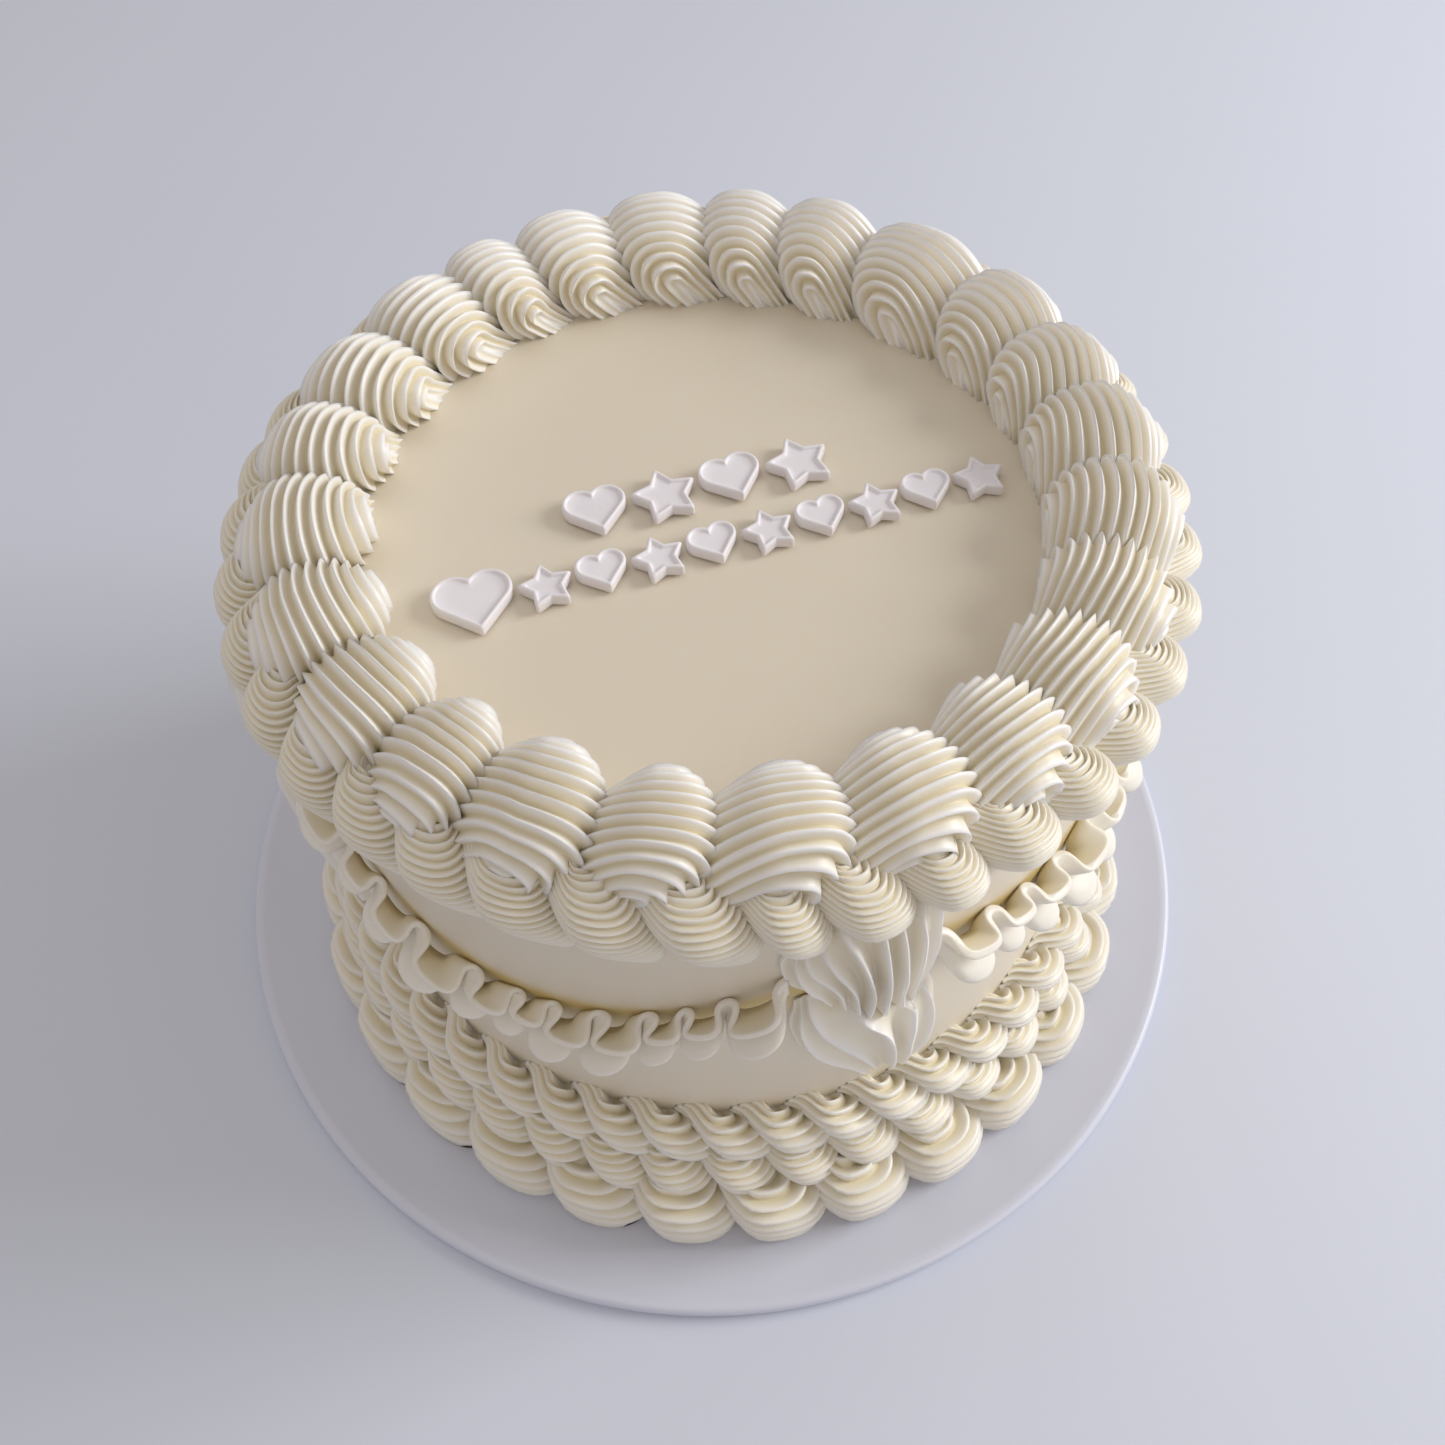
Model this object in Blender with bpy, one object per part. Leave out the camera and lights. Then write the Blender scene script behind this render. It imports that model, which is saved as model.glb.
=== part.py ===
"""A tall round party cake on its board, iced in ivory buttercream.

The cake is one uncut cylinder. Buttercream shells are piped round its top
rim, just below that rim, and in three rows at its foot. Four ruffled ribbons
hang in swags round the wall, and a fluted drop covers each meeting of two
swags. Small fondant hearts and stars lie in two lines on the top.

Metres, +Z up. The origin is on the table, under the middle of the board.
"""

import math

import bmesh
import bpy
from mathutils import Vector

# ---------------------------------------------------------------- dimensions
MM = 0.001
GAP = 0.4 * MM                  # clearance between pieces that touch

BOARD_RADIUS = 152.4 * MM       # a 12 inch cake board
BOARD_THICKNESS = 5.0 * MM
BOARD_EDGE = 1.0 * MM           # rounding of the board's two rims
BOARD_SIDES = 64

CAKE_X = 2.6 * MM               # the cake stands a little off the board's middle
CAKE_Y = -5.1 * MM
CAKE_RADIUS = 107.0 * MM        # an 8 inch sponge and its coat of icing
CAKE_HEIGHT = 165.0 * MM
CAKE_EDGE = 1.5 * MM
CAKE_SIDES = 72
CAKE_FOOT = BOARD_THICKNESS + GAP
CAKE_TOP = CAKE_FOOT + CAKE_HEIGHT

WALL = CAKE_RADIUS + GAP        # where everything piped on the wall begins
FRONT = math.radians(263.0)     # direction of the shell that faces the viewer

TOP_COUNT = 24                  # shells on the top rim
TOP_MIDDLE = 93.0 * MM          # radius of the line they are piped along
TOP_HALF_WIDTH = 13.5 * MM
TOP_RISE = 20.0 * MM

UNDER_COUNT = 38                # smaller shells on the wall, under the rim
UNDER_MIDDLE = 157.5 * MM       # height of their line above the board
UNDER_HALF_WIDTH = 11.0 * MM
UNDER_RISE = 10.5 * MM

# The three rows at the foot: count, height of the line above the board, half
# width, rise off the wall, and the lowest and highest height each row fills.
FOOT_ROWS = (
    ("foot_row_low", 29, 10.0 * MM, 14.0 * MM, 22.0 * MM, GAP, 20.0 * MM),
    ("foot_row_middle", 41, 26.0 * MM, 12.0 * MM, 13.5 * MM, 20.4 * MM, 35.0 * MM),
    ("foot_row_high", 47, 41.5 * MM, 9.0 * MM, 8.5 * MM, 35.4 * MM, 50.5 * MM),
)

SHELL_TAIL = 0.50               # size of a shell's tail, against its head
SHELL_PEAK = 0.80               # where along a shell its head is fullest
SHELL_NOSE = 0.33               # how far the blunt end reaches past that
SHELL_WAIST = 0.3               # share of a shell's width that never tapers
FLUTE_DEPTH = 0.17              # depth of the flutes, against the shell's rise
UNEVEN_SIZE = 0.05              # spread in size from one shell to the next
UNEVEN_PLACE = 0.07             # spread in place, against the spacing

# How finely each ring is modelled: its flutes, and where along a shell, from
# its tail at 0 to its head at 1, the outlines stand.
LARGE_FLUTES = 6
LARGE_COLUMNS = (0.06, 0.34, 0.64, 0.92)
MEDIUM_FLUTES = 4
MEDIUM_COLUMNS = (0.06, 0.48, 0.90)
SMALL_FLUTES = 3
SMALL_COLUMNS = (0.06, 0.80)

DROP_FIRST = math.radians(287.0)
DROP_COUNT = 4                  # fluted drops, one at each meeting of two swags
DROP_HALF_WIDTH = 18.0 * MM
DROP_RISE = 14.0 * MM
DROP_FLUTES = 5
# A drop's height above the board, its size and its middle groove, ring by
# ring: a large shell that narrows to its waist, then two lobes and a tip.
DROP_SHAPE = (
    (145.5 * MM, 0.80, 0.00),
    (138.0 * MM, 0.97, 0.00),
    (128.0 * MM, 1.00, 0.00),
    (117.0 * MM, 0.80, 0.00),
    (107.0 * MM, 0.50, 0.00),
    (105.5 * MM, 0.78, 0.20),
    (97.0 * MM, 0.86, 0.32),
    (86.0 * MM, 0.68, 0.28),
    (75.0 * MM, 0.38, 0.12),
    (66.0 * MM, 0.08, 0.00),
)

SWAG_SAGS = (25.0 * MM, 20.0 * MM, 20.0 * MM, 15.0 * MM)
SWAG_ENDS = 127.0 * MM          # height of the ribbon's top edge beside a drop
SWAG_CLEARANCE = math.radians(10.5)
RIBBON_WAVES = 13
RIBBON_HEIGHT = 15.0 * MM
RIBBON_THICKNESS = 2.2 * MM
RIBBON_NEAR = 110.0 * MM        # radius of the folds next to the wall
RIBBON_FAR = 117.0 * MM         # radius of the folds that stand off it
RIBBON_FLARE = 2.0 * MM         # how far the lower edge leans out

LINE_TILT = math.radians(16.6)  # the two lines of fondant pieces run uphill
# Each line: its first piece's place, the step, the count and the size.
UPPER_LINE = ((-26.4 * MM, -4.0 * MM), 17.0 * MM, 4, 15.5 * MM)
LOWER_LINE = ((-53.3 * MM, -31.6 * MM), 13.4 * MM, 10, 12.3 * MM)
FIRST_SIZE = 19.0 * MM          # the lower line opens with one larger piece
FONDANT_THICKNESS = 3.2 * MM
FONDANT_RIM = 1.1 * MM
FONDANT_SLOPE = 0.25 * MM       # run of the slope from the rim to the face
FONDANT_RECESS = 0.8 * MM
STAR_INNER = 0.56               # inner radius of a star, against its outer one
LOBE_STEPS = 7                  # edges round each lobe of a heart

IVORY = (0.80, 0.74, 0.60, 1.0)
FONDANT_WHITE = (0.86, 0.83, 0.84, 1.0)
BOARD_WHITE = (0.72, 0.72, 0.80, 1.0)


# ------------------------------------------------------------------- helpers
def material(name, colour, roughness):
    """A plain Principled material."""
    made = bpy.data.materials.new(name)
    made.use_nodes = True
    shader = made.node_tree.nodes["Principled BSDF"]
    shader.inputs["Base Color"].default_value = colour
    shader.inputs["Roughness"].default_value = roughness
    shader.inputs["Metallic"].default_value = 0.0
    return made


def add_object(name, mesh_builder, finish, parent=None):
    """Turn a filled bmesh into a named, shaded object with one material."""
    bmesh.ops.recalc_face_normals(mesh_builder, faces=mesh_builder.faces)
    mesh = bpy.data.meshes.new(name)
    mesh_builder.to_mesh(mesh)
    mesh_builder.free()
    mesh.shade_smooth()
    mesh.set_sharp_from_angle(angle=math.radians(40.0))
    mesh.materials.append(finish)
    piece = bpy.data.objects.new(name, mesh)
    bpy.context.scene.collection.objects.link(piece)
    piece.parent = parent
    return piece


def uneven(index, salt):
    """A fixed, irregular number from -1 to 1 for each piece of a series."""
    return math.sin(12.9898 * (index + 1) + 4.1414 * salt)


def around(radius, angle, height):
    """A point given by its radius, its direction and its height."""
    return Vector((radius * math.cos(angle), radius * math.sin(angle), height))


def turned_solid(profile, sides):
    """A solid of revolution: the profile runs from the axis out and back."""
    mesh_builder = bmesh.new()
    rings = []
    for radius, height in profile:
        ring = [mesh_builder.verts.new(around(radius, math.tau * side / sides, height))
                for side in range(sides)]
        rings.append(ring)
    for lower, upper in zip(rings, rings[1:]):
        for side in range(sides):
            after = (side + 1) % sides
            mesh_builder.faces.new((lower[side], lower[after], upper[after], upper[side]))
    mesh_builder.faces.new(reversed(rings[0]))
    mesh_builder.faces.new(rings[-1])
    return mesh_builder


def swept_solid(sections, closed):
    """Skin a row of equal outlines, joined end to end or capped at both ends."""
    mesh_builder = bmesh.new()
    rings = [[mesh_builder.verts.new(point) for point in section] for section in sections]
    pairs = list(zip(rings, rings[1:]))
    if closed:
        pairs.append((rings[-1], rings[0]))
    else:
        mesh_builder.faces.new(rings[0])
        mesh_builder.faces.new(reversed(rings[-1]))
    for first, second in pairs:
        for corner in range(len(first)):
            after = (corner + 1) % len(first)
            mesh_builder.faces.new((first[corner], second[corner],
                                    second[after], first[after]))
    return mesh_builder


# -------------------------------------------------------------- piped shells
def shell_size(along):
    """Size of one shell along its spacing: it swells from the tail at 0 to
    the head at SHELL_PEAK, then ends blunt like the end of an ellipse."""
    if along <= SHELL_PEAK:
        ease = math.sin(0.5 * math.pi * max(along, 0.0) / SHELL_PEAK)
        return SHELL_TAIL + (1.0 - SHELL_TAIL) * ease
    beyond = (along - SHELL_PEAK) / SHELL_NOSE
    return math.sqrt(max(0.0, 1.0 - beyond * beyond))


def shell_width(size):
    """A shell's width, which shrinks less towards its tail than its rise."""
    return SHELL_WAIST + (1.0 - SHELL_WAIST) * size


def fluted_arch(flutes):
    """Half an ellipse from one foot to the other as (across, up) pairs, with
    every second point drawn in to make the flutes a star nozzle leaves."""
    points = []
    steps = 2 * flutes
    for step in range(steps + 1):
        angle = math.pi * step / steps
        reach = 1.0 if step % 2 else 1.0 - FLUTE_DEPTH
        points.append((reach * math.cos(angle), reach * math.sin(angle)))
    points[0] = (1.0, 0.0)
    points[-1] = (-1.0, 0.0)
    return points


def border(count, salt, flutes, columns, place):
    """A closed ring of shells, piped clockwise seen from above.

    Each shell has its blunt head at its anticlockwise end, lying over the
    tail of the shell before it. place(across, up, size, angle) puts a point
    of the arch at its real position.
    """
    pitch = math.tau / count
    arch = fluted_arch(flutes)
    sections = []
    for index in range(count):
        shift = UNEVEN_PLACE * pitch * uneven(index, salt)
        following = UNEVEN_PLACE * pitch * uneven(index + 1 if index + 1 < count else 0, salt)
        scale = 1.0 + UNEVEN_SIZE * uneven(index, salt + 1)
        start = FRONT + (index - 0.5) * pitch + shift
        length = pitch + following - shift
        for along in columns:
            size = scale * shell_size(along)
            angle = start + along * length
            sections.append([place(across, up, size, angle) for across, up in arch])
    return swept_solid(sections, closed=True)


def on_top(across, up, size, angle):
    """Place a point of a top shell: across is outward, up is up."""
    width = TOP_HALF_WIDTH * shell_width(size)
    height = CAKE_TOP + GAP + TOP_RISE * size * up
    return around(TOP_MIDDLE + width * across, angle, height)


def on_wall(middle, half_width, rise, lowest, highest):
    """A placing function for shells on the wall: across is down, up is out."""
    def place(across, up, size, angle):
        height = middle - half_width * shell_width(size) * across
        height = min(max(height, lowest), highest)
        return around(WALL + rise * size * up, angle, BOARD_THICKNESS + height)
    return place


# ---------------------------------------------------------- drops and swags
def drop(angle):
    """A fluted drop on the wall, skinned over the rings of DROP_SHAPE. Its
    back follows the wall, and a groove parts the two lower lobes."""
    sections = []
    arch = fluted_arch(DROP_FLUTES) + [(-0.5, 0.0), (0.0, 0.0), (0.5, 0.0)]
    for height, size, groove in DROP_SHAPE:
        half_turn = DROP_HALF_WIDTH * size / WALL
        section = []
        for across, up in arch:
            drawn_in = 1.0 - groove * math.exp(-(across / 0.3) ** 2)
            section.append(around(WALL + DROP_RISE * size * up * drawn_in,
                                  angle + half_turn * across,
                                  BOARD_THICKNESS + height))
        sections.append(section)
    return swept_solid(sections, closed=False)


def ribbon(start, end, sag):
    """A folded ribbon that hangs in a swag between two drops. Its top edge
    follows a parabola, and it swings between the wall and open air."""
    sections = []
    steps = 4 * RIBBON_WAVES
    middle = 0.5 * (start + end)
    half = 0.5 * (end - start)
    for step in range(steps + 1):
        angle = start + (end - start) * step / steps
        bow = ((angle - middle) / half) ** 2
        height = BOARD_THICKNESS + SWAG_ENDS - sag * (1.0 - bow)
        radius = RIBBON_FAR if step % 4 in (2, 3) else RIBBON_NEAR
        half_thick = 0.5 * RIBBON_THICKNESS
        low = height - RIBBON_HEIGHT
        sections.append((
            around(radius - half_thick, angle, height),
            around(radius + half_thick, angle, height),
            around(radius + half_thick + RIBBON_FLARE, angle, low),
            around(radius - half_thick + RIBBON_FLARE, angle, low),
        ))
    return swept_solid(sections, closed=False)


# ----------------------------------------------------------- fondant pieces
def heart_outline(size):
    """A heart as wide as size: a square stood on its corner, with half a disc
    on each of its two upper sides."""
    side = size / (1.0 + math.sqrt(0.5))
    centre = side * math.sqrt(0.125)
    points = [(0.0, -2.0 * centre)]
    for sign, start in ((1.0, -45.0), (-1.0, 45.0)):
        for step in range(LOBE_STEPS):
            turn = math.radians(start + 180.0 * step / LOBE_STEPS)
            points.append((sign * centre + 0.5 * side * math.cos(turn),
                           centre + 0.5 * side * math.sin(turn)))
    points.append((-2.0 * centre, 0.0))
    return points


def star_outline(size):
    """A five-pointed star with plump arms."""
    points = []
    for step in range(10):
        turn = math.pi / 2 + math.pi * step / 5
        reach = 0.54 * size * (1.0 if step % 2 == 0 else STAR_INNER)
        points.append((reach * math.cos(turn), reach * math.sin(turn)))
    return points


def fondant_piece(outline):
    """A flat piece with a raised rim round a sunken face."""
    mesh_builder = bmesh.new()
    corners = [mesh_builder.verts.new((x, y, 0.0)) for x, y in outline]
    base = mesh_builder.faces.new(corners)
    raised = bmesh.ops.extrude_face_region(mesh_builder, geom=[base])
    lifted = [item for item in raised["geom"] if isinstance(item, bmesh.types.BMVert)]
    bmesh.ops.translate(mesh_builder, vec=(0.0, 0.0, FONDANT_THICKNESS), verts=lifted)
    mesh_builder.faces.ensure_lookup_table()
    face = next(item for item in raised["geom"] if isinstance(item, bmesh.types.BMFace))
    bmesh.ops.inset_region(mesh_builder, faces=[face], thickness=FONDANT_RIM,
                           depth=0.0, use_even_offset=True)
    bmesh.ops.inset_region(mesh_builder, faces=[face], thickness=FONDANT_SLOPE,
                           depth=-FONDANT_RECESS, use_even_offset=True)
    return mesh_builder


def fondant_line(line, first_size, name_start, finish, parent):
    """A straight line of hearts and stars, turn and turn about."""
    (start_x, start_y), step, count, size = line
    for index in range(count):
        kind = "heart" if index % 2 == 0 else "star"
        this_size = first_size if index == 0 else size
        outline = heart_outline(this_size) if kind == "heart" else star_outline(this_size)
        piece = add_object(f"{name_start}_{index + 1}_{kind}", fondant_piece(outline),
                           finish, parent)
        reach = step * index + (0.5 * (first_size - size) if index else 0.0)
        piece.location = (start_x + reach * math.cos(LINE_TILT),
                          start_y + reach * math.sin(LINE_TILT), CAKE_TOP + GAP)
        piece.rotation_euler = (0.0, 0.0, LINE_TILT + math.radians(6.0) * uneven(index, 9))


# ------------------------------------------------------------------ building
def clear_scene():
    for item in list(bpy.data.objects):
        bpy.data.objects.remove(item, do_unlink=True)


def build():
    clear_scene()
    buttercream = material("buttercream_ivory", IVORY, 0.5)
    fondant = material("fondant_white", FONDANT_WHITE, 0.45)
    board_foil = material("board_white", BOARD_WHITE, 0.4)

    add_object("board", turned_solid((
        (BOARD_RADIUS - BOARD_EDGE, 0.0),
        (BOARD_RADIUS, BOARD_EDGE),
        (BOARD_RADIUS, BOARD_THICKNESS - BOARD_EDGE),
        (BOARD_RADIUS - BOARD_EDGE, BOARD_THICKNESS)), BOARD_SIDES), board_foil)

    axis = bpy.data.objects.new("cake_axis", None)
    axis.location = (CAKE_X, CAKE_Y, 0.0)
    bpy.context.scene.collection.objects.link(axis)

    add_object("cake_body", turned_solid((
        (CAKE_RADIUS, CAKE_FOOT),
        (CAKE_RADIUS, CAKE_TOP - CAKE_EDGE),
        (CAKE_RADIUS - CAKE_EDGE, CAKE_TOP)), CAKE_SIDES), buttercream, axis)

    add_object("top_shells", border(
        TOP_COUNT, 1, LARGE_FLUTES, LARGE_COLUMNS, on_top), buttercream, axis)
    add_object("under_shells", border(
        UNDER_COUNT, 3, MEDIUM_FLUTES, MEDIUM_COLUMNS,
        on_wall(UNDER_MIDDLE, UNDER_HALF_WIDTH, UNDER_RISE, 0.0, CAKE_TOP)),
        buttercream, axis)
    for row, (name, count, middle, half, rise, low, high) in enumerate(FOOT_ROWS):
        place = on_wall(middle, half, rise, low, high)
        flutes, columns = ((MEDIUM_FLUTES, MEDIUM_COLUMNS) if row == 0
                           else (SMALL_FLUTES, SMALL_COLUMNS))
        add_object(name, border(count, 5 + 2 * row, flutes, columns, place),
                   buttercream, axis)

    spacing = math.tau / DROP_COUNT
    for index in range(DROP_COUNT):
        angle = DROP_FIRST - index * spacing
        add_object(f"drop_{index + 1}", drop(angle), buttercream, axis)
        add_object(f"ruffle_{index + 1}", ribbon(
            angle - spacing + SWAG_CLEARANCE, angle - SWAG_CLEARANCE,
            SWAG_SAGS[index]), buttercream, axis)

    fondant_line(UPPER_LINE, UPPER_LINE[3], "upper", fondant, axis)
    fondant_line(LOWER_LINE, FIRST_SIZE, "lower", fondant, axis)


build()
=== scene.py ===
# %% [markdown]
# A tall party cake in ivory buttercream, on its round board. The solids of the
# cake were made first, and this script dresses them. Each step has a short
# text like this one, then a cell of code. We load the solids before anything
# else, because every piece takes its place and size from them.

# %% load the solids
import math

import bpy
import numpy as np
from mathutils import Matrix, Vector


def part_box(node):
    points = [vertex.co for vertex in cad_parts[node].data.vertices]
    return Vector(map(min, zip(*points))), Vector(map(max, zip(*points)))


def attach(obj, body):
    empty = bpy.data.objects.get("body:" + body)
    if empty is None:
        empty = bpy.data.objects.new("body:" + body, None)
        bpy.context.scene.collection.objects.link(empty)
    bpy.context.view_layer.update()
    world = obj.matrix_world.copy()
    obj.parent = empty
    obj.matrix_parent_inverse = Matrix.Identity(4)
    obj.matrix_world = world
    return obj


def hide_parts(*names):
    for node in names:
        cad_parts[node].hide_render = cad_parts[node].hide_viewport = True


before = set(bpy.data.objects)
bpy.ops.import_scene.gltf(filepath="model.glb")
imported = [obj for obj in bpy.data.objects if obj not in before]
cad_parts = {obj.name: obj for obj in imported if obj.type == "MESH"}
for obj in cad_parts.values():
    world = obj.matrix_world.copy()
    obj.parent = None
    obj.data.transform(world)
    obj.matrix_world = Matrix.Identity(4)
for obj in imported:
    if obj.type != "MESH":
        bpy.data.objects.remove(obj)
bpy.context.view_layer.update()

# %% [markdown]
# Icing is measured in millimetres by anyone who pipes it, so all shapes below
# are worked out in millimetres and turned into metres at the very end. The
# cake stands a little off the middle of its board. Its axis, its wall and its
# flat top are read from the solid under the icing.

# %% measure the cake and its board
MM = 0.001


def box_mm(node):
    """The lowest and highest corner of a solid, in millimetres."""
    low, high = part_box(node)
    return np.array(low) / MM, np.array(high) / MM


board_low, board_high = box_mm("board")
cake_low, cake_high = box_mm("cake_body")
board_radius = (board_high[0] - board_low[0]) / 2
board_top = board_high[2]
axis_x, axis_y = (cake_low[:2] + cake_high[:2]) / 2
wall_radius = (cake_high[0] - cake_low[0]) / 2
cake_top = cake_high[2]
print(f"wall radius {wall_radius:.1f} mm, top {cake_top:.1f} mm above the table")

# %% [markdown]
# The camera comes early, because it decides what is worth detail. It stands in
# front of the cake and high above it, and looks down at about 55 degrees. Two
# angles and a small roll give its three directions: right, up and back are the
# columns of a rotation matrix, and Blender's camera looks along minus back.

# %% the camera
def add_object(name, data):
    """A new object in the scene."""
    made = bpy.data.objects.new(name, data)
    bpy.context.scene.collection.objects.link(made)
    return made


camera_place = Vector((0.0026, -0.2415, 0.4151))
yaw, pitch, roll = 0.0093, 0.9578, -0.0226
FRAME_PIXELS = 1445
FOCAL_PIXELS = 1400

forward = Vector((math.sin(yaw) * math.cos(pitch), math.cos(yaw) * math.cos(pitch),
                  -math.sin(pitch)))
level_right = Vector((math.cos(yaw), -math.sin(yaw), 0.0))
level_up = level_right.cross(forward)
right = level_right * math.cos(roll) + level_up * math.sin(roll)
up = level_up * math.cos(roll) - level_right * math.sin(roll)

camera = add_object("camera", bpy.data.cameras.new("camera"))
camera.data.lens = camera.data.sensor_width * FOCAL_PIXELS / FRAME_PIXELS
camera.data.clip_start = 0.01
camera.matrix_world = Matrix.Translation(camera_place) @ Matrix(
    (right, up, -forward)).transposed().to_4x4()
bpy.context.scene.camera = camera
print(f"a {camera.data.lens:.1f} mm lens, {camera_place.length:.2f} m from the board")

# %% [markdown]
# Icing looks soft because its light is soft. A large window to the right and a
# little behind picks out one flank of each ridge. A weak lamp overhead lights
# the crests, and a weak reflector in front stands for what the room throws
# back. A pale, slightly pink sky fills the shade, so that the grooves stay
# warm and don't go black. A wide floor catches the cake's shadow.

# %% lights and floor
def lamp(name, place, aim, size, watts, colour):
    """A square area lamp at a place, turned to face a point."""
    made = add_object(name, bpy.data.lights.new(name, "AREA"))
    made.data.size = size
    made.data.energy = watts
    made.data.color = colour
    made.location = place
    made.rotation_euler = (Vector(aim) - Vector(place)).to_track_quat("-Z", "Y").to_euler()


MIDDLE = (0.0, 0.0, 0.12)
lamp("window", (1.45, 0.2, 0.85), MIDDLE, 0.8, 18.0, (0.98, 0.99, 1.0))
lamp("ceiling", (-0.45, 0.25, 1.4), MIDDLE, 0.9, 1.4, (0.96, 0.98, 1.0))
lamp("reflector", (1.0, -0.9, 0.3), MIDDLE, 0.8, 1.5, (1.0, 0.97, 0.94))

sky = bpy.data.worlds.new("sky")
sky.use_nodes = True
background = sky.node_tree.nodes["Background"]
background.inputs["Color"].default_value = (1.0, 0.935, 0.92, 1.0)
background.inputs["Strength"].default_value = 0.49
bpy.context.scene.world = sky
bpy.context.scene.view_settings.view_transform = "Standard"

FLOOR_REACH = 3.0
floor_corners = [(FLOOR_REACH * x, FLOOR_REACH * y, 0)
                 for x, y in ((-1, -1), (1, -1), (1, 1), (-1, 1))]
floor_mesh = bpy.data.meshes.new("floor")
floor_mesh.from_pydata(floor_corners, [], [(0, 1, 2, 3)])
floor = add_object("floor", floor_mesh)
print("three lamps, a sky and a floor", 2 * FLOOR_REACH, "m wide")

# %% [markdown]
# Buttercream is fat and sugar beaten with air: light sinks a millimetre or two
# into it, so it gets a little subsurface scattering, and its skin is satin.
# Tiny air bubbles are a faint bump. All patterns are three-dimensional noise on
# Object coordinates, which need no unwrapping and can't stretch.

# %% a helper for finishes
COLOUR_STOPS = (0.3, 0.7)
COLOUR_DETAIL = 3.0
GRAIN_DETAIL = 4.0
ROUGHNESS_WANDER = 0.06
BUMP_STRENGTH = 0.6
SINK_RADIUS = (1.0, 0.7, 0.4)


def finish(name, dark, light, roughness, colour_scale, bump_scale, bump_height,
           sink=0.0, sink_scale=0.0015, deep=None):
    """A Principled finish: the colour wanders between dark and light over
    1 / colour_scale metres, and a finer noise drives roughness and bump. Light
    sinks in by sink_scale metres, and red sinks farthest. With deep, the
    piece's own attribute "groove" mixes in that colour as painted shade, in the
    grooves, cups and troughs of piped icing and on the wall behind the ribbon."""
    made = bpy.data.materials.new(name)
    made.use_nodes = True
    nodes, links = made.node_tree.nodes, made.node_tree.links
    shader = nodes["Principled BSDF"]
    place = nodes.new("ShaderNodeTexCoord")

    def noise(scale, detail):
        clouds = nodes.new("ShaderNodeTexNoise")
        clouds.inputs["Scale"].default_value = scale
        clouds.inputs["Detail"].default_value = detail
        links.new(place.outputs["Object"], clouds.inputs["Vector"])
        return clouds.outputs["Fac"]

    ramp = nodes.new("ShaderNodeValToRGB")
    for stop, position, tone in zip(ramp.color_ramp.elements, COLOUR_STOPS, (dark, light)):
        stop.position = position
        stop.color = (*tone, 1.0)
    links.new(noise(colour_scale, COLOUR_DETAIL), ramp.inputs["Fac"])
    colour = ramp.outputs["Color"]
    if deep is not None:
        groove = nodes.new("ShaderNodeAttribute")
        groove.attribute_name = "groove"
        mix = nodes.new("ShaderNodeMix")
        mix.data_type = "RGBA"
        mix.inputs["B"].default_value = (*deep, 1.0)
        links.new(groove.outputs["Fac"], mix.inputs["Factor"])
        links.new(colour, mix.inputs["A"])
        colour = mix.outputs["Result"]
    links.new(colour, shader.inputs["Base Color"])

    grain = noise(bump_scale, GRAIN_DETAIL)
    shine = nodes.new("ShaderNodeMapRange")
    shine.inputs["To Min"].default_value = roughness - ROUGHNESS_WANDER
    shine.inputs["To Max"].default_value = roughness + ROUGHNESS_WANDER
    links.new(grain, shine.inputs["Value"])
    links.new(shine.outputs["Result"], shader.inputs["Roughness"])
    bump = nodes.new("ShaderNodeBump")
    bump.inputs["Distance"].default_value = bump_height
    bump.inputs["Strength"].default_value = BUMP_STRENGTH
    links.new(grain, bump.inputs["Height"])
    links.new(bump.outputs["Normal"], shader.inputs["Normal"])

    shader.inputs["Subsurface Weight"].default_value = sink
    shader.inputs["Subsurface Radius"].default_value = SINK_RADIUS
    shader.inputs["Subsurface Scale"].default_value = sink_scale
    return made


print("roughness wanders by", ROUGHNESS_WANDER, "either way")

# %% [markdown]
# Four finishes are enough for the cake. Piped icing is nearly white on its
# ridges, and its grooves take a straw colour as painted shade, for the light
# that goes from flank to flank. The smooth coat is a warmer ivory, with a
# painted warm shade behind the ribbon. The sugar paste is white with a breath
# of pink, and the board's paper is a pale lilac, like the floor.

# %% the finishes
# Piped icing's deep colour is painted shade, for its grooves, cups and troughs.
piped_icing = finish("piped_icing", (0.935, 0.925, 0.92), (0.955, 0.95, 0.95),
                     roughness=0.36, colour_scale=18.0, bump_scale=900.0,
                     bump_height=0.00004, sink=0.12, sink_scale=0.0012,
                     deep=(0.70, 0.59, 0.31))
# The coat's deep colour is the painted warm shade behind the ribbon.
smooth_icing = finish("smooth_icing", (0.75, 0.675, 0.54), (0.79, 0.715, 0.58),
                      roughness=0.46, colour_scale=9.0, bump_scale=260.0,
                      bump_height=0.00005, sink=0.2, sink_scale=0.002,
                      deep=(0.62, 0.45, 0.10))
fondant = finish("fondant", (0.82, 0.79, 0.81), (0.87, 0.84, 0.86),
                 roughness=0.45, colour_scale=60.0, bump_scale=1500.0,
                 bump_height=0.00002, sink=0.1)
board_paper = finish("board_paper", (0.665, 0.685, 0.78), (0.69, 0.71, 0.805),
                     roughness=0.35, colour_scale=7.0, bump_scale=500.0,
                     bump_height=0.00002)
floor_paint = finish("floor_paint", (0.655, 0.69, 0.78), (0.675, 0.71, 0.80),
                     roughness=0.6, colour_scale=2.0, bump_scale=120.0,
                     bump_height=0.00005)
floor.data.materials.append(floor_paint)
print("finishes:", piped_icing.name, smooth_icing.name, fondant.name, board_paper.name)

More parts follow.
